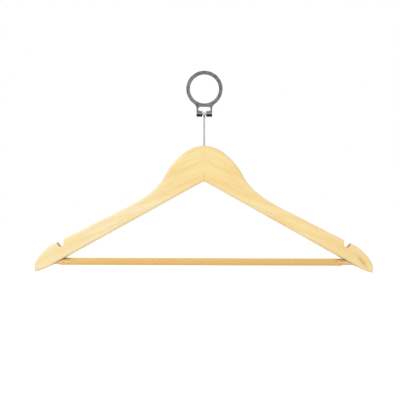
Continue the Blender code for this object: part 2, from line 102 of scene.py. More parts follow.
# %% [markdown]
# ## Helpers
# A node tree is easier to read when each node is one statement, with what feeds it and its own
# settings side by side. Where a node is named to link from, its first output in use is meant.

# %% Add one node with its inputs and settings
def feed(node, inputs):
    """Each input is a value, a node or socket that it is linked from, or a list of those."""
    for name, source in inputs.items():
        for one in source if isinstance(source, list) else [source]:
            if isinstance(one, bpy.types.Node):
                one = next(output for output in one.outputs if output.enabled)
            if isinstance(one, bpy.types.NodeSocket):
                node.id_data.links.new(one, node.inputs[name])
            else:
                node.inputs[name].default_value = one
    return node


def add_node(tree, kind, inputs=None, **settings):
    node = tree.nodes.new(kind)
    for field, value in settings.items():
        setattr(node, field, value)
    return feed(node, inputs or {})


# %% Turn a colour as a painter writes it into light
def srgb(code):
    """A hex colour such as #FADDA0 as linear red, green, blue and alpha."""
    shares = [int(code[i:i + 2], 16) / 255 for i in (1, 3, 5)]
    light = [c / 12.92 if c <= 0.04045 else ((c + 0.055) / 1.055) ** 2.4 for c in shares]
    return (*light, 1.0)


# %% Make, edit and settle a piece
def new_object(name, data):
    added = bpy.data.objects.new(name, data)
    bpy.context.scene.collection.objects.link(added)
    return added


@contextmanager
def editing(mesh):
    """Opens a mesh to be edited, and writes it back at the end."""
    opened = bmesh.new()
    opened.from_mesh(mesh)
    yield opened
    opened.to_mesh(mesh)
    opened.free()


def plain_mesh(piece):
    """The mesh that a piece's curve or its modifiers make."""
    graph = bpy.context.evaluated_depsgraph_get()
    return bpy.data.meshes.new_from_object(piece.evaluated_get(graph))


def settle(piece):
    """Replaces a piece's modifiers by the plain mesh that they make."""
    mesh = plain_mesh(piece)
    piece.modifiers.clear()
    piece.data = mesh
    return piece


# %% Start a Geometry Nodes tree, end it and run it
def start_tree(name, sizes, **others):
    """A tree that takes a mesh, named sizes, others of a named kind, and a material."""
    tree = bpy.data.node_groups.new(name, "GeometryNodeTree")
    for way in ("INPUT", "OUTPUT"):
        tree.interface.new_socket("Geometry", in_out=way, socket_type="NodeSocketGeometry")
    kinds = {**dict.fromkeys(sizes, "Float"), **others, "Material": "Material"}
    for label, kind in kinds.items():
        tree.interface.new_socket(label, in_out="INPUT", socket_type=f"NodeSocket{kind}")
    return tree, add_node(tree, "NodeGroupInput").outputs


def end_tree(tree, geometry, material):
    """Makes copies real, because an export drops instances, and sets their material."""
    real = add_node(tree, "GeometryNodeRealizeInstances", {"Geometry": geometry})
    covered = add_node(tree, "GeometryNodeSetMaterial", {"Geometry": real, "Material": material})
    add_node(tree, "NodeGroupOutput", {"Geometry": covered})
    print(f"{tree.name}: {len(tree.nodes)} nodes")


def run_tree(piece, tree, values):
    """Sets each input by its identifier, and leaves the result as a plain mesh."""
    modifier = piece.modifiers.new(tree.name, "NODES")
    modifier.node_group = tree
    for item in tree.interface.items_tree:
        if item.in_out == "INPUT" and item.name in values:
            modifier[item.identifier] = values[item.name]
    return settle(piece)


# %% [markdown]
# ## Crisp edges and calm flats
# A machined piece has flats that meet in crisp edges, with round stretches that run on smoothly.
# Shading by angle gives both: an edge sharper than a limit stays hard. Weighted normals then hold
# the large flats flat, so that a rounded edge doesn't drag a shadow across the whole face.

# %% The finish of every machined piece
TOUCHING = 0.002 * MM  # nearer than this, two points are one
CREASE = math.radians(32)  # an edge sharper than this stays hard


def machine_finish(piece, crease=CREASE):
    """Welds what touches, shades by angle, holds the flats flat, and says what it made."""
    with editing(piece.data) as welded:
        bmesh.ops.remove_doubles(welded, verts=welded.verts, dist=TOUCHING)
        bmesh.ops.dissolve_degenerate(welded, edges=welded.edges, dist=TOUCHING)
    piece.data.shade_smooth()
    piece.data.set_sharp_from_angle(angle=crease)
    flats = piece.modifiers.new("flats", "WEIGHTED_NORMAL")
    flats.keep_sharp = True
    settle(piece).data.calc_loop_triangles()
    size = ", ".join(f"{length / MM:.1f}" for length in piece.dimensions)
    print(f"{piece.name}: {len(piece.data.loop_triangles)} triangles, {size} mm")


# %% [markdown]
# ## Outlines
# The ring and the arms are both cut from flat stock, so both start as an outline. It is drawn
# with arcs, curves and fillets, as on a drawing, and filled by a flat curve. A mesh made that way
# has evenly fine curves and no points that a reader would have to trust.

# %% Draw arcs, curves and fillets
ARC_STEP = math.radians(4)
CURVE_POINTS = 40


def arc(centre, radius, start, end):
    steps = max(3, math.ceil(abs(end - start) / ARC_STEP))
    turns = [start + (end - start) * i / steps for i in range(steps + 1)]
    return [centre + radius * Vector((math.cos(turn), math.sin(turn))) for turn in turns]


def curve(start, leaves, comes_in, end, points=CURVE_POINTS):
    """A Bezier curve between two points, with the handle that it has at each."""
    return interpolate_bezier(start, start + leaves, end + comes_in, end, points)


def fillet(before, corner, after, radius):
    """The arc that rounds the corner between two straight runs."""
    back = (before - corner).normalized()
    ahead = (after - corner).normalized()
    half = back.angle(ahead) / 2
    centre = corner + (back + ahead).normalized() * radius / math.sin(half)
    first = corner + back * radius / math.tan(half) - centre
    last = corner + ahead * radius / math.tan(half) - centre
    start = math.atan2(first.y, first.x)
    sweep = math.atan2(first.x * last.y - first.y * last.x, first.dot(last))
    return arc(centre, radius, start, start + sweep)


def both_sides(half):
    """A closed outline from its right half, whose two ends lie on the centre line."""
    return half + [Vector((-point.x, point.y)) for point in reversed(half[1:-1])]


# %% Fill an outline, lying in X and Y or upright in X and Z
STRAIGHT = math.radians(0.05)  # a bend too small to need an edge
UPRIGHT = Matrix.Rotation(math.radians(90), 4, "X")


def flat_mesh(name, loops, thickness=0.0):
    drawing = bpy.data.curves.new(name, "CURVE")
    drawing.dimensions = "2D"
    drawing.fill_mode = "BOTH"
    drawing.extrude = thickness / 2
    for loop in loops:
        spline = drawing.splines.new("POLY")
        spline.points.add(len(loop) - 1)
        for point, place in zip(spline.points, loop):
            point.co = (place.x, place.y, 0.0, 1.0)
        spline.use_cyclic_u = True
    drawn = new_object(name, drawing)
    mesh = plain_mesh(drawn)
    bpy.data.objects.remove(drawn)
    with editing(mesh) as filled:
        points, edges = filled.verts, filled.edges
        bmesh.ops.remove_doubles(filled, verts=points, dist=TOUCHING)
        bmesh.ops.dissolve_limit(filled, angle_limit=STRAIGHT, verts=points, edges=edges)
        bmesh.ops.recalc_face_normals(filled, faces=filled.faces)
    return mesh


def upright_mesh(name, loops, thickness=0.0):
    mesh = flat_mesh(name, loops, thickness)
    mesh.transform(UPRIGHT)
    return mesh


# %% [markdown]
# ## The materials
# Patterns are drawn in space and not on the surface, so they run through a piece as grain does.
# The scale of a Mapping node of type TEXTURE is the real size of a feature along each axis.

# %% Start a material, draw a pattern, and lay one colour over another
def new_material(name):
    """A material, its tree, its shader, and the place that its patterns read."""
    material = bpy.data.materials.new(name)
    material.use_nodes = True
    tree = material.node_tree
    place = add_node(tree, "ShaderNodeTexCoord").outputs["Object"]
    print("new material:", name)
    return material, tree, tree.nodes["Principled BSDF"], place


def pattern(tree, place, size, turn=(0.0, 0.0, 0.0), detail=3.0):
    """Noise whose features are as large as size says, in metres, along the turned axes."""
    space = add_node(
        tree,
        "ShaderNodeMapping",
        {"Vector": place, "Rotation": turn, "Scale": size},
        vector_type="TEXTURE",
    )
    return add_node(
        tree,
        "ShaderNodeTexNoise",
        {"Vector": space, "Scale": 1.0, "Detail": detail, "Roughness": 0.55},
    )


def lay_over(tree, share, colour, blend="MULTIPLY"):
    """Lays a colour over the one that the surface has, by a share from 0 to 1."""
    shader = tree.nodes["Principled BSDF"]
    under = shader.inputs["Base Color"].links[0].from_socket
    laid = add_node(
        tree, "ShaderNodeMix", {0: share, 6: under, 7: colour}, data_type="RGBA", blend_type=blend
    )
    feed(shader, {"Base Color": laid})


# %% [markdown]
# ### Lacquered beech
# The arms are pale beech, sawn, sanded and sprayed with clear satin lacquer. Three things show:
# the growth rings as faint bands along each arm, fine fibres, and short darker flecks. The rings
# lie round the place where the tree's centre was, so the distance from that centre says how far
# through a year's growth each point of the wood is.

# %% Growth rings
RING_SIZE = (4000 * MM, 5 * MM, 5 * MM)  # so long that no ring ends within a board
WANDER = 90 * MM  # over which the rings wander
RING_WANDER = 0.9  # by how much, in rings
YEAR_DEPTH = 0.45  # how deep the tone of a year's last growth is
# how far through the year, and how deep the tone is then
YEAR = ((0.0, 0.25), (0.15, 0.0), (0.7, 0.35), (0.93, 1.0), (1.0, 0.25))


def growth_rings(tree, place, turn, heart):
    """How deep the tone is, from spring to the thin dark line in which a year ends."""
    wander = add_node(
        tree, "ShaderNodeTexNoise", {"Vector": place, "Scale": 1 / WANDER, "Detail": 2.0}
    )
    board = add_node(
        tree,
        "ShaderNodeMapping",
        {"Vector": place, "Location": heart, "Rotation": turn, "Scale": RING_SIZE},
        vector_type="TEXTURE",
    )
    wandering = add_node(
        tree,
        "ShaderNodeVectorMath",
        {0: wander.outputs["Color"], 1: (0.0, 2 * RING_WANDER, 2 * RING_WANDER), 2: board},
        operation="MULTIPLY_ADD",
    )
    rings = add_node(tree, "ShaderNodeVectorMath", {0: wandering}, operation="LENGTH")
    year = add_node(tree, "ShaderNodeMath", {0: rings}, operation="FRACT")
    shade = add_node(tree, "ShaderNodeValToRGB", {"Fac": year})
    shade.color_ramp.interpolation = "EASE"
    for _ in YEAR[2:]:
        shade.color_ramp.elements.new(0.5)
    for element, (position, depth) in zip(shade.color_ramp.elements, YEAR):
        element.position = position
        element.color = (*[YEAR_DEPTH * depth] * 3, 1.0)
    return shade


# %% [markdown]
# Both boards are from like wood, so their tones meet at the seam and part further out. The left
# board's paler, whiter tone away from the seam is partly painted sheen from the upper-left lamp.
# Broad patches, fibres and flecks come from noise, of which only the part between two levels is
# used.

# %% Wood, with rings, patches, fibres and flecks along one grain direction
PATCH = (70 * MM, 9 * MM, 9 * MM)
FIBRE = (16 * MM, 0.5 * MM, 0.5 * MM)  # real ones are a tenth of that, too fine to show
FLECK = (5 * MM, 0.45 * MM, 0.9 * MM)
ALIKE = 15 * MM  # how far from the seam the two boards have the same tone
APART = 100 * MM  # how far from it each has its own
TONE_SHARE = (ALIKE, APART, 0.0, 1.0)  # from and to which level, and what it gives there
PATCH_SHARE = (0.32, 0.68, 0.0, 1.0)
FLECK_SHARE = (0.62, 0.72, 0.0, 0.10)
FIBRE_SHADE = (0.3, 0.62, 0.93, 1.0)


def wood(name, slope, heart, near, far, lacquer):
    """Heart is where the tree's centre lay, slope how far the grain falls to the right.

    Near and far are the pale and the deep tone at the seam and away from it.
    """
    material, tree, shader, place = new_material(name)
    turn = (0.0, slope, 0.0)
    axes = add_node(tree, "ShaderNodeSeparateXYZ", {0: place}).outputs
    from_seam = add_node(tree, "ShaderNodeMath", {0: axes["X"]}, operation="ABSOLUTE")
    folded = add_node(tree, "ShaderNodeCombineXYZ", {0: from_seam, 1: axes["Y"], 2: axes["Z"]})
    patches = pattern(tree, folded, PATCH, (0.0, abs(slope), 0.0), 2.0)
    fibres = pattern(tree, place, FIBRE, turn)
    flecks = pattern(tree, place, FLECK, turn, 1.0)
    own_tone_and_sheen, broad, speck, fine = (
        add_node(
            tree,
            "ShaderNodeMapRange",
            {0: value, 1: low, 2: high, 3: least, 4: most},
            interpolation_type="SMOOTHSTEP",
        )
        for value, (low, high, least, most) in (
            (from_seam, TONE_SHARE),
            (patches, PATCH_SHARE),
            (flecks, FLECK_SHARE),
            (fibres, FIBRE_SHADE),
        )
    )
    pale, deep = (
        add_node(tree, "ShaderNodeMix", {0: own_tone_and_sheen, 6: first, 7: last}, data_type="RGBA")
        for first, last in zip(near, far)
    )
    feed(shader, {"Base Color": pale})
    lay_over(tree, broad, deep, "MIX")
    lay_over(tree, growth_rings(tree, place, turn, heart), deep, "MIX")
    lay_over(tree, 1.0, fine)
    lay_over(tree, speck, srgb("#B98A4A"))
    satin = add_node(
        tree,
        "ShaderNodeMapRange",
        {"Value": fibres, "From Min": 0.3, "From Max": 0.7, "To Min": 0.42, "To Max": 0.52},
    )
    relief = add_node(
        tree, "ShaderNodeBump", {"Height": fibres, "Strength": 0.15, "Distance": 0.05 * MM}
    )
    lacquered = {"IOR": 1.5, "Coat Weight": lacquer, "Coat Roughness": 0.28}
    feed(shader, {"Roughness": satin, "Normal": relief, **lacquered})
    return material


# %% The two boards and the dowel
GRAIN_SLOPE = math.radians(23)
HEART_BEHIND = 45 * MM  # the tree's centre lay behind both boards
DOWEL_HEART = (0.0, 30 * MM, BAR_Z - 12 * MM)
CROWN_TONES = (srgb("#FAE2A4"), srgb("#F5D38B"))
DOWEL_TONES = (srgb("#F0D8A8"), srgb("#E4C28C"))
LACQUER = 0.25
left_board, right_board = (
    wood(
        f"beech_{name}_board_sanded_and_lacquered",
        slope,
        (0.0, HEART_BEHIND, CROWN_Z - heart_below),
        CROWN_TONES,
        (srgb(pale), srgb(deep)),
        LACQUER,
    )
    for name, slope, heart_below, pale, deep in (
        # the left board's paler, whiter far tones are partly painted sheen from the upper-left lamp
        ("left", -GRAIN_SLOPE, 75 * MM, "#FAE9BC", "#F6DCA2"),
        ("right", GRAIN_SLOPE, 77 * MM, "#FBE5AB", "#F7D793"),
    )
)
bare_dowel = wood(
    "beech_dowel_turned_and_sanded", 0.0, DOWEL_HEART, DOWEL_TONES, DOWEL_TONES, 0.0
)

# %% [markdown]
# ### Marks of the making, and painted shade
# The making leaves its own marks on the boards, and some shade is painted on as well. Open grain
# soaks up more lacquer and is darker, on the notch walls and round the tips. The routed notches
# are darkened all over as painted shade in the recess, so each arm carries an attribute that says
# how open the grain of its surface is and where the notch is. Glue has darkened the foot of the
# seam, where the outline is too thin for long fingers. Painted shade darkens the wood round the
# dowel, where each arm meets the bar. A dark streak crosses the right tip. Most marks lie in a box
# with soft edges, so one function lays them.

# %% Lay a mark in a soft-edged box
RAIL_MIDDLE = (0.0, 0.0, 0.0)  # above every mark, so distances along Z run down from it


def lay_mark(material, colour, strength, spans, centre=RAIL_MIDDLE, blend="MULTIPLY"):
    """Spans gives, for an axis, how far from the centre it starts and where it is full."""
    tree = material.node_tree
    place = add_node(tree, "ShaderNodeTexCoord").outputs["Object"]
    away = add_node(tree, "ShaderNodeVectorMath", {0: place, 1: centre}, operation="SUBTRACT")
    apart = add_node(tree, "ShaderNodeVectorMath", {0: away}, operation="ABSOLUTE")
    axes = add_node(tree, "ShaderNodeSeparateXYZ", {0: apart}).outputs
    share = strength
    for axis, (start, full) in spans.items():
        share = add_node(
            tree,
            "ShaderNodeMapRange",
            {"Value": axes[axis], "From Min": start, "From Max": full, "To Max": share},
            interpolation_type="SMOOTHSTEP",
        )
    lay_over(tree, share, colour, blend)
    print(f"{material.name}: a mark with soft edges along {', '.join(spans)}")


# %% Open grain, painted notch shade, seam glue and painted shade round the dowel, on both boards
SEAM_GLUE = {
    "X": (0.7 * MM, 0.0),  # on each side of the seam
    "Z": (107 * MM, 114 * MM),  # above it the seam is too fine to see
}
# painted shade on each arm where it meets the dowel, darkest round the dowel
BAR_PAINTED_SHADE = {
    "Z": (11 * MM, 5.5 * MM),  # above and below the dowel's axis
    "Y": (5.8 * MM, 4 * MM),  # not on the faces, only round the underside
    "X": (204 * MM, 198 * MM),  # nor on the outer faces of the tips
}
for board in (left_board, right_board):
    tree = board.node_tree
    grain = add_node(tree, "ShaderNodeAttribute", attribute_name="grain_and_notch_shade").outputs["Fac"]
    # darker on open grain, and painted shade all over the routed notches
    soaked_and_shaded = add_node(
        tree,
        "ShaderNodeMapRange",
        {"Value": grain, "From Min": 0.25, "From Max": 1.0, "To Max": 0.7},
        interpolation_type="SMOOTHSTEP",
    )
    lay_over(tree, soaked_and_shaded, srgb("#BD9A63"))
    lay_mark(board, srgb("#C9A970"), 0.35, SEAM_GLUE)
    # painted shade round the dowel, where each arm meets the bar
    lay_mark(board, srgb("#85561F"), 0.9, BAR_PAINTED_SHADE, (0.0, PIN_Y, BAR_Z))

# %% The dark streak across the right tip
STREAK_SIZE = (16 * MM, 40 * MM, 3.8 * MM)
STREAK_PLACE = (207.8 * MM, FRONT_Y, -225.8 * MM)
STREAK_SLOPE = math.radians(52)
streaked = right_board.node_tree
along_streak = add_node(
    streaked,
    "ShaderNodeMapping",
    {
        "Vector": add_node(streaked, "ShaderNodeTexCoord").outputs["Object"],
        "Location": STREAK_PLACE,
        "Rotation": (0.0, STREAK_SLOPE, 0.0),
        "Scale": STREAK_SIZE,
    },
    vector_type="TEXTURE",
)
off_streak = add_node(streaked, "ShaderNodeVectorMath", {0: along_streak}, operation="LENGTH")
streak = add_node(
    streaked,
    "ShaderNodeMapRange",
    {"Value": off_streak, "From Min": 1.0, "From Max": 0.1, "To Max": 0.6},
    interpolation_type="SMOOTHSTEP",
)
lay_over(streaked, streak, srgb("#D2BC92"))
print(f"streak {2 * STREAK_SIZE[0] / MM:.0f} mm long, {2 * STREAK_SIZE[2] / MM:.1f} mm wide")

# %% [markdown]
# ### Amber vinyl
# The sleeve is an extruded tube of soft clear vinyl with an amber tint. It lets the dowel show
# through and catches the light along its ribs. Real refraction in so thin a wall changes little
# and makes a noisy render, so the tint is a surface that is partly see-through. Painted shade
# darkens the upper side of the bar's ends, on both the dowel and the sleeve, next to the arms.

# %% Vinyl, extruded, amber and clear
DIE_LINES = (400 * MM, 0.25 * MM, 0.25 * MM)
CLOUD = (60 * MM, 30 * MM, 30 * MM)
vinyl, vinyl_tree, vinyl_shader, vinyl_place = new_material("vinyl_tube_extruded_amber_clear")
die_lines = pattern(vinyl_tree, vinyl_place, DIE_LINES, detail=2.0)
cloud = pattern(vinyl_tree, vinyl_place, CLOUD, detail=2.0)
amber = add_node(
    vinyl_tree,
    "ShaderNodeMix",
    {0: cloud, 6: srgb("#F8D081"), 7: srgb("#F4C674")},
    data_type="RGBA",
)
vinyl_relief = add_node(
    vinyl_tree, "ShaderNodeBump", {"Height": die_lines, "Strength": 0.2, "Distance": 0.05 * MM}
)
feed(vinyl_shader, {"Base Color": amber, "Normal": vinyl_relief})
feed(vinyl_shader, {"Roughness": 0.25, "IOR": 1.54, "Alpha": 0.85})

# %% Painted shade on the bar's upper side next to the arms
BAR_TOP_PAINTED_SHADE = {
    "X": (168 * MM, 183 * MM),
    "Z": (-BAR_Z - 1 * MM, -BAR_Z - 4 * MM),  # on the upper side only
}
# painted shade on the upper side of the dowel and the sleeve next to both arms
for bar_material in (bare_dowel, vinyl):
    lay_mark(bar_material, srgb("#A9743A"), 0.65, BAR_TOP_PAINTED_SHADE)

# %% [markdown]
# ### Plated steel
# The ring is stamped from steel plate, tumbled and plated with dark nickel. Tumbling leaves a dull
# even grey with tiny dents, so the metal is rough and its grey is broken up a little. The pin is
# turned and plated with bright nickel, so it has fine rings round its axis. The brads are drawn
# wire, whose fine lines run along them.

# %% Metal with a grey that wanders and a fine relief
STAIN = (6 * MM, 6 * MM, 6 * MM)
DULLED = 0.05  # how much duller or brighter the relief makes the metal


def plated_steel(name, pale, deep, roughness, grain, strength):
    """Grain is the size of the relief in metres, along X, Y and Z."""
    material, tree, shader, place = new_material(name)
    marks = pattern(tree, place, grain)
    clouded = add_node(
        tree,
        "ShaderNodeMapRange",
        {"Value": pattern(tree, place, STAIN), "From Min": 0.35, "From Max": 0.65},
        interpolation_type="SMOOTHSTEP",
    )
    colour = add_node(
        tree, "ShaderNodeMix", {0: clouded, 6: srgb(pale), 7: srgb(deep)}, data_type="RGBA"
    )
    dulled = add_node(
        tree,
        "ShaderNodeMapRange",
        {
            "Value": marks,
            "From Min": 0.3,
            "From Max": 0.7,
            "To Min": roughness - DULLED,
            "To Max": roughness + DULLED,
        },
    )
    relief = add_node(
        tree, "ShaderNodeBump", {"Height": marks, "Strength": strength, "Distance": 0.02 * MM}
    )
    feed(shader, {"Base Color": colour, "Roughness": dulled, "Normal": relief, "Metallic": 1.0})
    return material


# %% The metals of the ring, the pin and the brads
TUMBLED = (0.6 * MM, 0.6 * MM, 0.6 * MM)
TURNED = (20 * MM, 20 * MM, 0.12 * MM)
DRAWN = (0.6 * MM, 8 * MM, 0.6 * MM)
ring_steel = plated_steel(
    "steel_plate_stamped_tumbled_dark_nickel", "#828282", "#686868", 0.38, TUMBLED, 0.3
)
pin_nickel = plated_steel(
    "steel_pin_turned_bright_nickel", "#B4B2B2", "#A5A3A3", 0.15, TURNED, 0.2
)
brad_steel = plated_steel("steel_nail_drawn_bright", "#CBC8C2", "#B5B2AC", 0.3, DRAWN, 0.2)

# %% [markdown]
# ## The ring
# The real ring is a flat stamping whose foot is folded twice in a press, back and then up, into a
# channel that the pin's head lies in. It is made here in the same order: the flat blank first,
# with cuts where it will bend, and then the fold. The fold is a rule, so Geometry Nodes do it.

# %% Sizes of the ring
PLATE = 2 * MM
PLATE_EDGE = 0.35 * MM
BORE_RADIUS = 19.1 * MM
NECK_HALF = 10.3 * MM
NECK_FILLET = 8 * MM
BRIDGE = 4.35 * MM
KEYHOLE_WIDTH = 16.1 * MM
KEYHOLE_HEIGHT = 5.65 * MM
SLIT_HALF = 2.55 * MM
SLIT_CORNER = 0.8 * MM
TAB_CORNER = 1 * MM
BEND_RADIUS = 1.7 * MM  # of the middle of the plate
LIP = 1.5 * MM
RING_RADIUS = ring_high.z
QUARTER = BEND_RADIUS * math.pi / 2
SHELF = ring_high.y - PLATE / 2 - 2 * BEND_RADIUS
BEND_TOP = ring_low.z + PLATE / 2 + BEND_RADIUS
BLANK_END = BEND_TOP - 2 * QUARTER - SHELF - LIP
KEYHOLE_TOP = -BORE_RADIUS - BRIDGE
KEYHOLE_BOTTOM = KEYHOLE_TOP - KEYHOLE_HEIGHT
print(f"the ring's blank is {(RING_RADIUS - BLANK_END) / MM:.1f} mm long before it is folded")


# %% Draw the flat blank and cut it where it will bend
def ring_blank():
    flare = Vector((NECK_HALF + NECK_FILLET, 0.0))
    flare.y = -math.sqrt((RING_RADIUS + NECK_FILLET) ** 2 - flare.x**2)
    touch = math.atan2(flare.y, flare.x)
    half = arc(Vector((0.0, 0.0)), RING_RADIUS, math.pi / 2, touch)
    half += arc(flare, NECK_FILLET, touch + math.pi, math.pi)[1:]

    outer_corner = Vector((NECK_HALF, BLANK_END))
    inner_corner = Vector((SLIT_HALF, BLANK_END))
    slit_top = Vector((SLIT_HALF, KEYHOLE_BOTTOM))
    half += fillet(half[-1], outer_corner, inner_corner, TAB_CORNER)
    half += fillet(outer_corner, inner_corner, slit_top, TAB_CORNER)
    keyhole_end = Vector(
        (KEYHOLE_WIDTH / 2 - KEYHOLE_HEIGHT / 2, (KEYHOLE_TOP + KEYHOLE_BOTTOM) / 2)
    )
    round_end = arc(keyhole_end, KEYHOLE_HEIGHT / 2, -math.pi / 2, math.pi / 2)
    half += fillet(inner_corner, slit_top, round_end[0], SLIT_CORNER) + round_end
    half.append(Vector((0.0, KEYHOLE_TOP)))
    bore = arc(Vector((0.0, 0.0)), BORE_RADIUS, 0.0, 2 * math.pi)[:-1]
    return flat_mesh("ring_blank", [both_sides(half), bore])


BEND_CUTS = 12


def cut_for_bends(mesh):
    with editing(mesh) as blank:
        for bend_start in (BEND_TOP, BEND_TOP - QUARTER - SHELF):
            for step in range(BEND_CUTS + 1):
                bmesh.ops.bisect_plane(
                    blank,
                    geom=blank.verts[:] + blank.edges[:] + blank.faces[:],
                    plane_co=(0.0, bend_start - QUARTER * step / BEND_CUTS, 0.0),
                    plane_no=(0.0, 1.0, 0.0),
                )
    return mesh


# %% [markdown]
# The blank is stood up, and each bend is the same rule. What has run past its start slides back
# up by the length that the bend uses up, and turns about the bend's centre by the angle reached,
# a quarter turn at most. The lower bend is made first, so that the upper one carries it along.

# %% The fold as a Geometry Nodes tree
fold, fold_in = start_tree("fold a sheet back and up", ["Bend Top", "Bend Radius", "Shelf"])
quarter = add_node(
    fold, "ShaderNodeMath", {0: fold_in["Bend Radius"], 1: math.pi / 2}, operation="MULTIPLY"
)
lower_bend = fold_in["Bend Top"]
for run in (quarter, fold_in["Shelf"]):
    lower_bend = add_node(fold, "ShaderNodeMath", {0: lower_bend, 1: run}, operation="SUBTRACT")
place = add_node(fold, "GeometryNodeInputPosition")
axes = add_node(fold, "ShaderNodeSeparateXYZ", {0: place}).outputs
upright = add_node(fold, "ShaderNodeCombineXYZ", {"X": axes["X"], "Z": axes["Y"]})
sheet = add_node(
    fold, "GeometryNodeSetPosition", {"Geometry": fold_in["Geometry"], "Position": upright}
)
for start in (lower_bend, fold_in["Bend Top"]):
    end = add_node(fold, "ShaderNodeMath", {0: start, 1: quarter}, operation="SUBTRACT")
    turn = add_node(
        fold,
        "ShaderNodeMapRange",
        {"Value": axes["Z"], "From Min": start, "From Max": end, "To Max": math.pi / 2},
    )
    used_up = add_node(
        fold, "ShaderNodeMath", {0: turn, 1: fold_in["Bend Radius"]}, operation="MULTIPLY"
    )
    slide = add_node(fold, "ShaderNodeCombineXYZ", {"Z": used_up})
    slid = add_node(fold, "ShaderNodeVectorMath", {0: place, 1: slide}, operation="ADD")
    centre = add_node(fold, "ShaderNodeCombineXYZ", {1: fold_in["Bend Radius"], 2: start})
    bent = add_node(
        fold,
        "ShaderNodeVectorRotate",
        {"Vector": slid, "Center": centre, "Angle": turn},
        rotation_type="X_AXIS",
    )
    past = add_node(fold, "FunctionNodeCompare", {0: axes["Z"], 1: start}, operation="LESS_THAN")
    sheet = add_node(
        fold, "GeometryNodeSetPosition", {"Geometry": sheet, "Selection": past, "Position": bent}
    )
end_tree(fold, sheet, fold_in["Material"])

# %% Fold the blank, give it its plate thickness and break its edges
ring = new_object("folded_ring", cut_for_bends(ring_blank()))
run_tree(
    ring,
    fold,
    {"Bend Top": BEND_TOP, "Bend Radius": BEND_RADIUS, "Shelf": SHELF, "Material": ring_steel},
)
plate = ring.modifiers.new("plate", "SOLIDIFY")
plate.thickness = PLATE
plate.offset = 0.0
plate.use_even_offset = True


def round_edges(piece, width, segments, sharper_than):
    """A Bevel modifier on the edges that are sharper than an angle."""
    bevel = piece.modifiers.new("rounded edges", "BEVEL")
    bevel.width = width
    bevel.segments = segments
    bevel.limit_method = "ANGLE"
    bevel.angle_limit = sharper_than
    bevel.use_clamp_overlap = False
    bevel.loop_slide = False


round_edges(ring, PLATE_EDGE, 3, math.radians(45))
machine_finish(settle(ring))
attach(ring, "ring")
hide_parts("security_ring")

# %% [markdown]
# Along the front bend a near black band is painted as the dark reflection that the bend shows,
# under a lighter band painted as a highlight where the bend starts to turn.

# %% Paint a dark reflection and a highlight on the front bend
BEND_FADE = 0.6 * MM
BEND_PAINTED_HIGHLIGHT = {"Z": (-BEND_TOP - 3 * BEND_FADE, -BEND_TOP - BEND_FADE)}
BEND_PAINTED_REFLECTION = {
    "Z": (-BEND_TOP, -BEND_TOP + BEND_FADE),
    "Y": (8 * MM, PLATE),  # only as far back as the front bend goes
}
# a painted highlight just above the bend
lay_mark(ring_steel, srgb("#9A989A"), 1.0, BEND_PAINTED_HIGHLIGHT, blend="MIX")
# a painted dark reflection on the front bend
lay_mark(ring_steel, srgb("#141214"), 1.0, BEND_PAINTED_REFLECTION, blend="MIX")

# %% [markdown]
# ## The pin
# It is turned from steel wire: a domed head, a thin stem, and glue grooves at the end that is in
# the wood. A turned piece is a profile and a Screw modifier. The head's underside and its dome
# are what the eye finds through the keyhole, so the dome is an arc and its rim has a small chamfer.

# %% Turn a profile into a solid
def turned(name, profile, sides, stand):
    """Turns pairs of radius and height about Z, and then moves the solid to its place."""
    mesh = bpy.data.meshes.new(name)
    points = [(radius, 0.0, height) for radius, height in profile]
    mesh.from_pydata(points, [(i, i + 1) for i in range(len(points) - 1)], [])
    piece = new_object(name, mesh)
    turn = piece.modifiers.new("turn", "SCREW")
    turn.axis = "Z"
    turn.steps = sides
    turn.render_steps = sides
    turn.use_merge_vertices = True
    turn.merge_threshold = 0.01 * MM
    settle(piece).data.transform(stand)
    return piece


# %% Profile of the pin
HEAD_HEIGHT = 4 * MM
HEAD_RIM = 1 * MM
HEAD_CHAMFER = 0.4 * MM
STEM_RADIUS = 1.15 * MM
PIN_POINT = 3 * MM
GROOVES = 6
GROOVE_DEPTH = 0.25 * MM
GROOVE_START = 8 * MM
HEAD_RADIUS = span("swivel_pin").x / 2
HEAD_SEAT = pin_high.z - HEAD_HEIGHT


def pin_profile():
    dome = HEAD_HEIGHT - HEAD_RIM
    sphere = (HEAD_RADIUS**2 + dome**2) / (2 * dome)
    widest = math.asin(HEAD_RADIUS / sphere)
    top_centre = Vector((0.0, pin_high.z - sphere))
    points = arc(top_centre, sphere, math.pi / 2, math.pi / 2 - widest)
    points[0].x = 0.0
    points += [
        (HEAD_RADIUS, HEAD_SEAT + HEAD_CHAMFER),
        (HEAD_RADIUS - HEAD_CHAMFER, HEAD_SEAT),
        (STEM_RADIUS, HEAD_SEAT),
    ]
    last_groove = pin_low.z + PIN_POINT
    pitch = (CROWN_Z - GROOVE_START - last_groove) / GROOVES
    for i in range(GROOVES):
        top = CROWN_Z - GROOVE_START - i * pitch
        points += [
            (STEM_RADIUS, top),
            (STEM_RADIUS - GROOVE_DEPTH, top - pitch / 4),
            (STEM_RADIUS, top - pitch / 2),
        ]
    return points + [(STEM_RADIUS, last_groove), (0.0, pin_low.z)]


# %% Turn the pin, and paint its head brighter than its stem as a highlight
PIN_SIDES = 64
HIGHLIGHT_FADE = 0.1 * MM
HEAD_PAINTED_HIGHLIGHT = {"Z": (-HEAD_SEAT + HIGHLIGHT_FADE, -HEAD_SEAT - HIGHLIGHT_FADE)}
# the head's nickel is painted brighter than the stem's, as a painted highlight
lay_mark(pin_nickel, srgb("#E6E4E2"), 1.0, HEAD_PAINTED_HIGHLIGHT, blend="MIX")
pin = turned("turned_pin", pin_profile(), PIN_SIDES, Matrix.Translation((0.0, PIN_Y, 0.0)))
pin.data.materials.append(pin_nickel)
machine_finish(pin)
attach(pin, "pin")
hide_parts("swivel_pin")

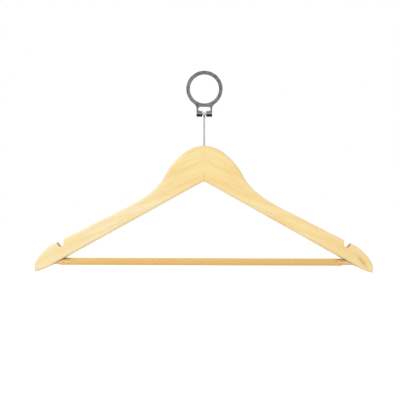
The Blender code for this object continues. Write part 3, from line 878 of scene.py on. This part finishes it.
# %% [markdown]
# ## The arms
# Both arms are routed from boards 12 mm thick to one outline, with a rounded edge, and joined at
# the crown by a comb of fingers that mesh and are glued. So the outline is drawn once and rounded
# once, and each arm keeps its own side of the comb. The joint is glued tight: only a hairline is
# left between the arms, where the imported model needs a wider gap. The strap notches are cut after
# the edge is rounded, so their walls stay crisp, as a saw leaves them.

# %% Sizes of the wood's outline, from the crown's top
CROWN_HANDLE = 20.3 * MM
FLANK_X = 51.5 * MM
FLANK_DROP = 40 * MM
FLANK_SLOPE = math.radians(62.7)
FLANK_UPPER_HANDLE = 24.5 * MM
FLANK_LOWER_HANDLE = 21.2 * MM
ARM_START_X = 99.5 * MM
ARM_START_HANDLE = 17.2 * MM
SHOULDER_DROP = 30.7 * MM
SHOULDER_SLOPE = math.radians(26.7)
UNDERSIDE_DROP = 46.3 * MM
UNDERSIDE_SLOPE = math.radians(29.13)
CROTCH_RADIUS = 6 * MM
END_CURVE_LENGTH = 20.2 * MM
END_ABOVE_TIP = 8.85 * MM
END_UPPER_HANDLE = 3.5 * MM
END_LOWER_HANDLE = 9.4 * MM
TOE_LENGTH = 15.5 * MM
TOE_SLOPE = math.radians(20)


# %% Draw the outline
def shoulder(x):
    return Vector((x, -SHOULDER_DROP - x * math.tan(SHOULDER_SLOPE)))


def underside(x):
    return Vector((x, -UNDERSIDE_DROP - x * math.tan(UNDERSIDE_SLOPE)))


def downhill(slope):
    return Vector((math.cos(slope), -math.sin(slope)))


def wood_outline():
    crown = Vector((0.0, 0.0))
    level = Vector((CROWN_HANDLE, 0.0))
    flank = Vector((FLANK_X, -FLANK_DROP))
    down_flank = downhill(FLANK_SLOPE)
    down_shoulder = downhill(SHOULDER_SLOPE)
    arm_start = shoulder(ARM_START_X)
    above = -down_flank * FLANK_UPPER_HANDLE
    half = curve(crown, level, above, flank)
    below = down_flank * FLANK_LOWER_HANDLE
    half += curve(flank, below, -down_shoulder * ARM_START_HANDLE, arm_start)[1:]

    toe = underside(HALF_WIDTH - TOE_LENGTH)
    tip = Vector((HALF_WIDTH, toe.y - TOE_LENGTH * math.tan(TOE_SLOPE)))
    end = tip + Vector((0.0, END_ABOVE_TIP))
    end_start = shoulder(HALF_WIDTH - END_CURVE_LENGTH)
    upwards = Vector((0.0, END_LOWER_HANDLE))
    half += curve(end_start, down_shoulder * END_UPPER_HANDLE, upwards, end, CURVE_POINTS // 2)
    half += [tip, toe]
    crotch = Vector((0.0, -UNDERSIDE_DROP - CROTCH_RADIUS / math.cos(UNDERSIDE_SLOPE)))
    half += arc(crotch, CROTCH_RADIUS, math.pi / 2 - UNDERSIDE_SLOPE, math.pi / 2)
    return both_sides(half)


print(f"the wood's outline has {len(wood_outline())} points")

# %% Sizes and outlines of the notch and of the comb
NOTCH_FROM_TIP = 38 * MM
NOTCH_DEPTH = 10.1 * MM
NOTCH_RADIUS = 3.8 * MM
NOTCH_LEAN = math.radians(35)
FINGERS = 4
FINGER_REACH = 5 * MM
HAIRLINE = 0.06 * MM
CUT_PAST = 5 * MM


def notch_outline(side):
    """An upright inner wall, a round bottom and an outer wall that leans outwards."""
    wall = HALF_WIDTH - NOTCH_FROM_TIP
    centre = shoulder(wall) + Vector((NOTCH_RADIUS, NOTCH_RADIUS - NOTCH_DEPTH))
    reach = NOTCH_DEPTH + CUT_PAST
    outer = Vector((math.sin(NOTCH_LEAN), math.cos(NOTCH_LEAN)))
    bottom = arc(centre, NOTCH_RADIUS, math.pi, 2 * math.pi - NOTCH_LEAN)
    points = [bottom[0] + Vector((0.0, reach))] + bottom
    points.append(bottom[-1] + outer * reach / outer.y)
    return [Vector((side * point.x, point.y)) for point in points]


def comb_outline(side):
    """One arm's share of the joint seen from above, in X and Y."""
    half_gap = HAIRLINE / 2
    outside = WOOD_THICKNESS / 2 + CUT_PAST
    finger = WOOD_THICKNESS / (FINGERS + 2)
    reaches = [0.0] + [FINGER_REACH * (-1) ** i for i in range(FINGERS)] + [0.0]
    points = [Vector((side * half_gap, -outside))]
    for i in range(FINGERS + 1):
        before, after = reaches[i], reaches[i + 1]
        y = (i - FINGERS / 2) * finger - side * math.copysign(half_gap, after - before)
        points.append(Vector((before + side * half_gap, y)))
        points.append(Vector((after + side * half_gap, y)))
    points.append(Vector((side * half_gap, outside)))
    far = side * (HALF_WIDTH + CUT_PAST)
    return points + [Vector((far, outside)), Vector((far, -outside))]


# %% Holes for the pin, the dowel and the brads
TIGHT = 0.05 * MM  # how much wider a hole is than what is glued or driven into it
HOLE_SIDES = 48
BAR_HOLE_START = 0.85  # of the way to the dowel's end, and clear of the wood
NAIL_HEAD = 0.6 * MM  # how thick a brad's head is, which lies flush with the back


def rod(name, radius, start, end):
    """A cutter between two places."""
    way = end - start
    mesh = bpy.data.meshes.new(name)
    with editing(mesh) as made:
        bmesh.ops.create_cone(
            made,
            cap_ends=True,
            segments=HOLE_SIDES,
            radius1=radius,
            radius2=radius,
            depth=way.length,
            matrix=Matrix.LocRotScale((start + end) / 2, way.to_track_quat("Z", "Y"), None),
        )
    return new_object(name, mesh)


def head_of(brad):
    """The middle of its back."""
    place = middle(brad)
    place.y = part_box(brad)[1].y
    return place


def holes_in(side, brad):
    crown = Vector((0.0, PIN_Y, CROWN_Z + CUT_PAST))
    pin_end = Vector((0.0, PIN_Y, pin_low.z - TIGHT))
    bar_end = Vector((side * (BAR_HALF_LENGTH + TIGHT), PIN_Y, BAR_Z))
    bar_start = bar_end * Vector((BAR_HOLE_START, 1, 1))
    head = head_of(brad)
    head_seat = head - Vector((0.0, NAIL_HEAD, 0.0))
    outside = head + Vector((0.0, CUT_PAST, 0.0))
    return [
        rod("pin_hole", STEM_RADIUS + TIGHT, crown, pin_end),
        rod("bar_hole", BAR_RADIUS + TIGHT, bar_start, bar_end),
        rod("brad_hole", span(brad).x / 2 + TIGHT, head_seat, outside),
    ]


# %% Cut a piece, and mark its open grain and the painted shade of its notch
IN_NOTCH = 0.1 * MM  # how far past the notch's own outline its walls are looked for
NOTCH_SPAN = 3.5 * NOTCH_RADIUS  # from its inner wall to well past its outer one


def cut(piece, cutter, operation="DIFFERENCE"):
    boolean = piece.modifiers.new(cutter.name, "BOOLEAN")
    boolean.object = cutter
    boolean.operation = operation
    boolean.solver = "EXACT"


def in_notch(place):
    """The walls and the bottom that the router left, from just below the arm's upper edge."""
    inwards = HALF_WIDTH - NOTCH_FROM_TIP - IN_NOTCH
    depth = CROWN_Z + shoulder(inwards).y - place.z
    in_width = inwards < abs(place.x) < inwards + NOTCH_SPAN
    return in_width and 0.0 < depth < NOTCH_DEPTH + IN_NOTCH


def mark_grain_and_notch_shade(piece, slope):
    """1 where the surface stands square to the grain, 1 all over the routed notch as painted shade
    in the recess, 0 along the grain.
    """
    along = Vector((math.cos(slope), 0.0, -math.sin(slope)))
    mesh = piece.data
    values = [abs(normal.vector.dot(along)) for normal in mesh.corner_normals]
    # the whole notch, its bottom too, is set to 1: painted shade in the recess
    routed = [f for f in mesh.polygons if abs(f.normal.y) < 0.5 and in_notch(f.center)]
    for face in routed:
        for corner in face.loop_indices:
            values[corner] = 1.0
    marks = mesh.attributes.new("grain_and_notch_shade", "FLOAT", "CORNER")
    marks.data.foreach_set("value", values)
    print(f"{piece.name}: {len(routed)} faces in the notch")


# %% Cut both arms from the rounded blank
EDGE_ROUND = 3 * MM
EDGE_SEGMENTS = 8
COMB_HEIGHT = 1.0  # far taller than the crown
NOTCH_WIDTH = 0.1  # far wider than the board is thick
AT_CROWN = Matrix.Translation((0.0, PIN_Y, CROWN_Z))
blank = new_object("arm_blank", upright_mesh("arm_blank", [wood_outline()], WOOD_THICKNESS))
round_edges(blank, EDGE_ROUND, EDGE_SEGMENTS, math.radians(60))
settle(blank)
for name, side, board in (("left", -1, left_board), ("right", 1, right_board)):
    arm = new_object(f"{name}_arm_routed", blank.data.copy())
    comb = new_object("comb", flat_mesh("comb", [comb_outline(side)], COMB_HEIGHT))
    notch = new_object("notch", upright_mesh("notch", [notch_outline(side)], NOTCH_WIDTH))
    for piece in (arm, comb, notch):
        piece.data.transform(AT_CROWN)
    holes = holes_in(side, f"{name}_bar_brad")
    cut(arm, comb, "INTERSECT")
    for cutter in [notch] + holes:
        cut(arm, cutter)
    settle(arm)
    for cutter in [comb, notch] + holes:
        bpy.data.objects.remove(cutter)
    arm.data.materials.clear()
    arm.data.materials.append(board)
    machine_finish(arm)
    mark_grain_and_notch_shade(arm, side * GRAIN_SLOPE)
    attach(arm, "hanger")
    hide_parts(f"{name}_arm")
bpy.data.objects.remove(blank)

# %% [markdown]
# ## The trouser bar
# The bar is a turned beech dowel. Its ends are in the arms, and only a short bare stretch shows
# past the sleeve. A dowel is a turned profile as well, here with a chamfer at each end.

# %% Turn the dowel
BAR_CHAMFER = 0.8 * MM
BAR_SIDES = 96
bar_end = [
    (0.0, BAR_HALF_LENGTH),
    (BAR_RADIUS - BAR_CHAMFER, BAR_HALF_LENGTH),
    (BAR_RADIUS, BAR_HALF_LENGTH - BAR_CHAMFER),
]
bar_profile = bar_end + [(radius, -height) for radius, height in reversed(bar_end)]
bar_place = Matrix.Translation((0.0, PIN_Y, BAR_Z)) @ Matrix.Rotation(math.radians(90), 4, "Y")
bar = turned("turned_dowel", bar_profile, BAR_SIDES, bar_place)
bar.data.materials.append(bare_dowel)
machine_finish(bar)
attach(bar, "hanger")
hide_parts("trouser_bar")

# %% [markdown]
# ## The sleeve
# The sleeve is an extrusion: one ribbed section all along, cut off square. So Geometry Nodes draw
# the section once, with the ribs as a wave round a circle, fill the wall between it and the bore,
# and extrude it. It is soft and pushed in under the left arm, whose underside shapes its end.

# %% The section of a ribbed tube, in a Geometry Nodes tree
tube, tube_in = start_tree(
    "ribbed tube",
    ["Root Radius", "Rib Height", "Bore", "Length", "Trim Height", "Trim Slope"],
    Ribs="Int",
    Points="Int",
)
outer_circle, bore_circle = (
    add_node(
        tube,
        "GeometryNodeCurvePrimitiveCircle",
        {"Resolution": tube_in["Points"], "Radius": tube_in[radius]},
    )
    for radius in ("Root Radius", "Bore")
)
rise = add_node(tube, "GeometryNodeSplineParameter")  # from 0 to 1 round the circle
for operation, value in (
    ("MULTIPLY", tube_in["Ribs"]),
    ("MULTIPLY", 2 * math.pi),
    ("COSINE", 0.0),
    ("MULTIPLY", -0.5),
    ("ADD", 0.5),  # a wave from 0 to 1
    ("POWER", 0.6),  # broad crests with narrow grooves between them
    ("MULTIPLY", tube_in["Rib Height"]),
):
    rise = add_node(tube, "ShaderNodeMath", {0: rise, 1: value}, operation=operation)
position = add_node(tube, "GeometryNodeInputPosition")
outwards = add_node(tube, "ShaderNodeVectorMath", {0: position}, operation="NORMALIZE")
rib_offset = add_node(
    tube, "ShaderNodeVectorMath", {0: outwards, "Scale": rise}, operation="SCALE"
)
ribbed_circle = add_node(
    tube, "GeometryNodeSetPosition", {"Geometry": outer_circle, "Offset": rib_offset}
)
circles = add_node(tube, "GeometryNodeJoinGeometry", {0: [bore_circle, ribbed_circle]})
section = add_node(tube, "GeometryNodeFillCurve", {"Curve": circles})
stood_section = add_node(
    tube, "GeometryNodeTransform", {"Geometry": section, "Rotation": (0.0, math.radians(90), 0.0)}
)

# %% Draw it out and close its near end
drawn_out = add_node(
    tube,
    "GeometryNodeExtrudeMesh",
    {
        "Mesh": stood_section,
        "Offset": add_node(tube, "ShaderNodeCombineXYZ", {"X": tube_in["Length"]}),
        "Offset Scale": 1.0,
        "Individual": False,
    },
    mode="FACES",
)
near_end = add_node(tube, "GeometryNodeFlipFaces", {"Mesh": stood_section})
whole_tube = add_node(tube, "GeometryNodeJoinGeometry", {0: [near_end, drawn_out]})
closed_tube = add_node(
    tube, "GeometryNodeMergeByDistance", {"Geometry": whole_tube, "Distance": TOUCHING}
)

# %% Trim the left end where the arm presses on it
axes = add_node(tube, "ShaderNodeSeparateXYZ", {0: position}).outputs
kept_x = axes["Z"]
for operation, value in (
    ("SUBTRACT", tube_in["Trim Height"]),
    ("MAXIMUM", 0.0),
    ("DIVIDE", tube_in["Trim Slope"]),  # how far the arm's underside has pushed it back
    ("MAXIMUM", axes["X"]),
):
    kept_x = add_node(tube, "ShaderNodeMath", {0: kept_x, 1: value}, operation=operation)
trimmed_place = add_node(
    tube, "ShaderNodeCombineXYZ", {"X": kept_x, "Y": axes["Y"], "Z": axes["Z"]}
)
trimmed_tube = add_node(
    tube, "GeometryNodeSetPosition", {"Geometry": closed_tube, "Position": trimmed_place}
)
end_tree(tube, trimmed_tube, tube_in["Material"])

# %% Draw the sleeve in its place on the dowel
RIBS = 24
POINTS_A_RIB = 10
RIB_HEIGHT = 0.35 * MM
RIB_CREASE = math.radians(50)  # so that the ribs run on smoothly
SLEEVE_WALL = 0.65 * MM
SLEEVE_CLEAR = 0.1 * MM  # between its trimmed end and the arm
SLEEVE_RADIUS = span("grip_sleeve").y / 2
sleeve_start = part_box("grip_sleeve")[0].x
arm_above_start = CROWN_Z + underside(-sleeve_start).y - BAR_Z
sleeve = new_object("ribbed_sleeve", bpy.data.meshes.new("ribbed_sleeve"))
run_tree(
    sleeve,
    tube,
    {
        "Ribs": RIBS,
        "Points": RIBS * POINTS_A_RIB,
        "Root Radius": SLEEVE_RADIUS - RIB_HEIGHT,
        "Rib Height": RIB_HEIGHT,
        "Bore": SLEEVE_RADIUS - SLEEVE_WALL,
        "Length": span("grip_sleeve").x,
        "Trim Height": arm_above_start - SLEEVE_CLEAR / math.cos(UNDERSIDE_SLOPE),
        "Trim Slope": math.tan(UNDERSIDE_SLOPE),
        "Material": vinyl,
    },
)
sleeve.data.transform(Matrix.Translation((sleeve_start, PIN_Y, BAR_Z)))
machine_finish(sleeve, RIB_CREASE)
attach(sleeve, "hanger")
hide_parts("grip_sleeve")

# %% [markdown]
# ## The brads
# A brad through the back of each arm pins the dowel. Both are the same nail, so it is turned once,
# and Geometry Nodes put a copy at each end of a line between the two places.

# %% Nails at the ends of a line, as a Geometry Nodes tree
nails, nail_in = start_tree(
    "nails at both ends of a line", [], Nail="Object", Left="Vector", Right="Vector"
)
nail_line = add_node(
    nails,
    "GeometryNodeMeshLine",
    {"Count": 2, "Start Location": nail_in["Left"], "Offset": nail_in["Right"]},
    mode="END_POINTS",
)
nail_shape = add_node(nails, "GeometryNodeObjectInfo", {"Object": nail_in["Nail"]})
nail_copies = add_node(
    nails,
    "GeometryNodeInstanceOnPoints",
    {"Points": nail_line, "Instance": nail_shape.outputs["Geometry"]},
)
end_tree(nails, nail_copies, nail_in["Material"])

# %% Turn one nail and place two
NAIL_RADIUS = 0.6 * MM
NAIL_HEAD_ROUND = 0.1 * MM
NAIL_POINT = 1.2 * MM
NAIL_SIDES = 32
nail_length = span("left_bar_brad").y
nail_head_radius = span("left_bar_brad").x / 2
nail_profile = [
    (0.0, 0.0),
    (nail_head_radius - NAIL_HEAD_ROUND, 0.0),
    (nail_head_radius, -NAIL_HEAD_ROUND),
    (NAIL_RADIUS, -NAIL_HEAD),
    (NAIL_RADIUS, NAIL_POINT - nail_length),
    (0.0, -nail_length),
]
head_to_the_back = Matrix.Rotation(math.radians(-90), 4, "X")
nail = turned("one_nail", nail_profile, NAIL_SIDES, head_to_the_back)
places = {"Left": head_of("left_bar_brad"), "Right": head_of("right_bar_brad")}
brads = new_object("bar_brads_driven", bpy.data.meshes.new("bar_brads_driven"))
run_tree(brads, nails, {"Nail": nail, **places, "Material": brad_steel})
bpy.data.objects.remove(nail)
machine_finish(brads)
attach(brads, "hanger")
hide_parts("left_bar_brad", "right_bar_brad")

# %% [markdown]
# ## The stage
# The photograph shows the hanger square on, on plain white. The floor lies well below, so that
# the hanger can turn and hang free. The world lights the object softly from all sides and looks
# white to the camera, to metal and to glass, which costs no extra light on the object.

# %% White world
WORLD_LIGHT = 0.66
WHITE = srgb("#FFFFFF")


def show_brighter(owner, output, lit, shown, share=1.0):
    """Lit is the shader that gives light, shown the one that is seen, also in metal or glass."""
    owner.use_nodes = True
    tree = owner.node_tree
    tree.nodes.clear()
    path = add_node(tree, "ShaderNodeLightPath").outputs
    seen = path["Is Camera Ray"]
    for ray in ("Is Glossy Ray", "Is Transmission Ray"):
        seen = add_node(tree, "ShaderNodeMath", {0: seen, 1: path[ray]}, operation="MAXIMUM")
    by_share = add_node(tree, "ShaderNodeMath", {0: seen, 1: share}, operation="MULTIPLY")
    first, last = (add_node(tree, kind, inputs) for kind, inputs in (lit, shown))
    both = add_node(tree, "ShaderNodeMixShader", {0: by_share, 1: first, 2: last})
    add_node(tree, output, {"Surface": both})
    print(f"{owner.name}: {len(tree.nodes)} nodes")


world = bpy.data.worlds.new("plain_studio")
bpy.context.scene.world = world
show_brighter(
    world,
    "ShaderNodeOutputWorld",
    ("ShaderNodeBackground", {"Color": WHITE, "Strength": WORLD_LIGHT}),
    ("ShaderNodeBackground", {"Color": WHITE, "Strength": 1.0}),
)

# %% Pale floor, which keeps the shadow
FLOOR_BELOW = 0.22
FLOOR_HALF = 6.0
GLOW = 1.3
GLOW_SHARE = 0.62  # how much of the floor's white is its own
floor_mesh = bpy.data.meshes.new("pale_floor")
with editing(floor_mesh) as made:
    bmesh.ops.create_grid(made, x_segments=4, y_segments=4, size=FLOOR_HALF)
floor_mesh.transform(Matrix.Translation((0.0, 0.0, CAD_BOX[0][2] - FLOOR_BELOW)))
floor = new_object("pale_floor", floor_mesh)
paper = bpy.data.materials.new("paper_matt_white")
show_brighter(
    paper,
    "ShaderNodeOutputMaterial",
    ("ShaderNodeBsdfDiffuse", {"Color": srgb("#F2F2F2")}),
    ("ShaderNodeEmission", {"Color": WHITE, "Strength": GLOW}),
    GLOW_SHARE,
)
floor_mesh.materials.append(paper)

# %% [markdown]
# ## Light
# The photograph is lit from the upper left, from the front: upper edges are bright, lower ones
# have a thin dark line, and the left arm is a little paler than the right. One large soft lamp
# does that, with painted sheen in the left board's paler tone, and a weaker one from the right
# keeps the shadow side open.

# %% Two soft lamps
TARGET = Vector((0.0, PIN_Y, (CAD_BOX[0][2] + CAD_BOX[1][2]) / 2))


def soft_lamp(name, place, size, watts):
    light = bpy.data.lights.new(name, "AREA")
    light.shape = "DISK"
    light.size = size
    light.energy = watts
    lamp = new_object(name, light)
    lamp.location = place
    way = TARGET - lamp.location
    lamp.rotation_euler = way.to_track_quat("-Z", "Y").to_euler()
    print(f"{name}: {watts} W at {way.length:.2f} m")


soft_lamp("key_upper_left", (-0.85, -1.05, 0.65), size=0.9, watts=9.4)
soft_lamp("fill_right", (1.3, -1.0, 0.2), size=1.2, watts=3.0)

# %% [markdown]
# ## Camera
# The picture is square on, and near enough that the camera sees the inner walls of both strap
# notches: about 0.73 m with a 50 mm lens. The photographed hanger hangs a little askew, the wood
# one way and the ring the other, while its bar is level, so the camera rolls a little, which fits
# all three fairly.

# %% The camera at the photograph's place
PHOTO_WIDTH = 529.2 * MM  # what 400 pixels cover at the hanger
LENS = 50.0
SENSOR = 36.0
LOOK_X = -5.3 * MM
LOOK_Z = -145.8 * MM
ROLL = math.radians(0.2)
camera_data = bpy.data.cameras.new("photograph")
camera_data.lens = LENS
camera_data.sensor_width = SENSOR
camera = new_object("photograph", camera_data)
distance = PHOTO_WIDTH * LENS / SENSOR
camera.location = (LOOK_X, PIN_Y - distance, LOOK_Z)
camera.rotation_euler = (math.radians(90), -ROLL, 0.0)
bpy.context.scene.camera = camera
bpy.context.scene.view_settings.view_transform = "Standard"
print(f"camera {distance:.3f} m in front of the pin")
